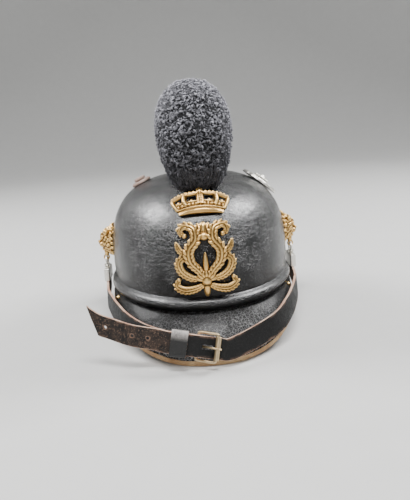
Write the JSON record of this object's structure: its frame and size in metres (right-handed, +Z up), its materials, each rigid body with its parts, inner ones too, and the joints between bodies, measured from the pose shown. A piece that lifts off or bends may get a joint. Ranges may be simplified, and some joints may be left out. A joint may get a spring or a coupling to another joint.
{
  "type": "crested leather helmet",
  "caption": "Black lacquered leather helmet with a tall wool crest, brass crown and scroll badge, lion-head bosses, visor, neck guard and a buckled chin strap across the visor.",
  "frame": {"origin": "centre of the bounding box on the floor", "axes": "+Z up, the helmet's front faces -Y, +X is the viewer's right seen from the front"},
  "size_m": [0.2134, 0.281, 0.2424],
  "materials": {
    "black_leather": "lacquered, crackled",
    "strap_leather": "worn black grain with tan cut edges",
    "wool": "tight dark curls",
    "brass": "cast, dull gilt",
    "white_metal": "old plated metal",
    "pale_leather": "faded, matt"
  },
  "bodies": {
    "root": {"skull": "black_leather", "visor": "black_leather", "neck_guard": "black_leather", "crest": "wool", "crown": "brass", "emblem": "brass", "lion_boss_left": "brass", "lion_boss_right": "brass", "strap_ring_left": "white_metal", "strap_ring_right": "white_metal", "strap_clip_left": "white_metal", "strap_clip_right": "white_metal", "strap_left": "strap_leather", "strap_right": "strap_leather", "buckle_frame": "brass", "buckle_roller": "brass", "buckle_prong": "brass", "strap_keeper": "strap_leather", "cockade_disc": "white_metal", "cockade_boss": "white_metal", "rosette_base": "pale_leather", "rosette_button": "pale_leather", "visor_stud_left": "brass", "visor_stud_right": "brass"}
  },
  "joints": []
}
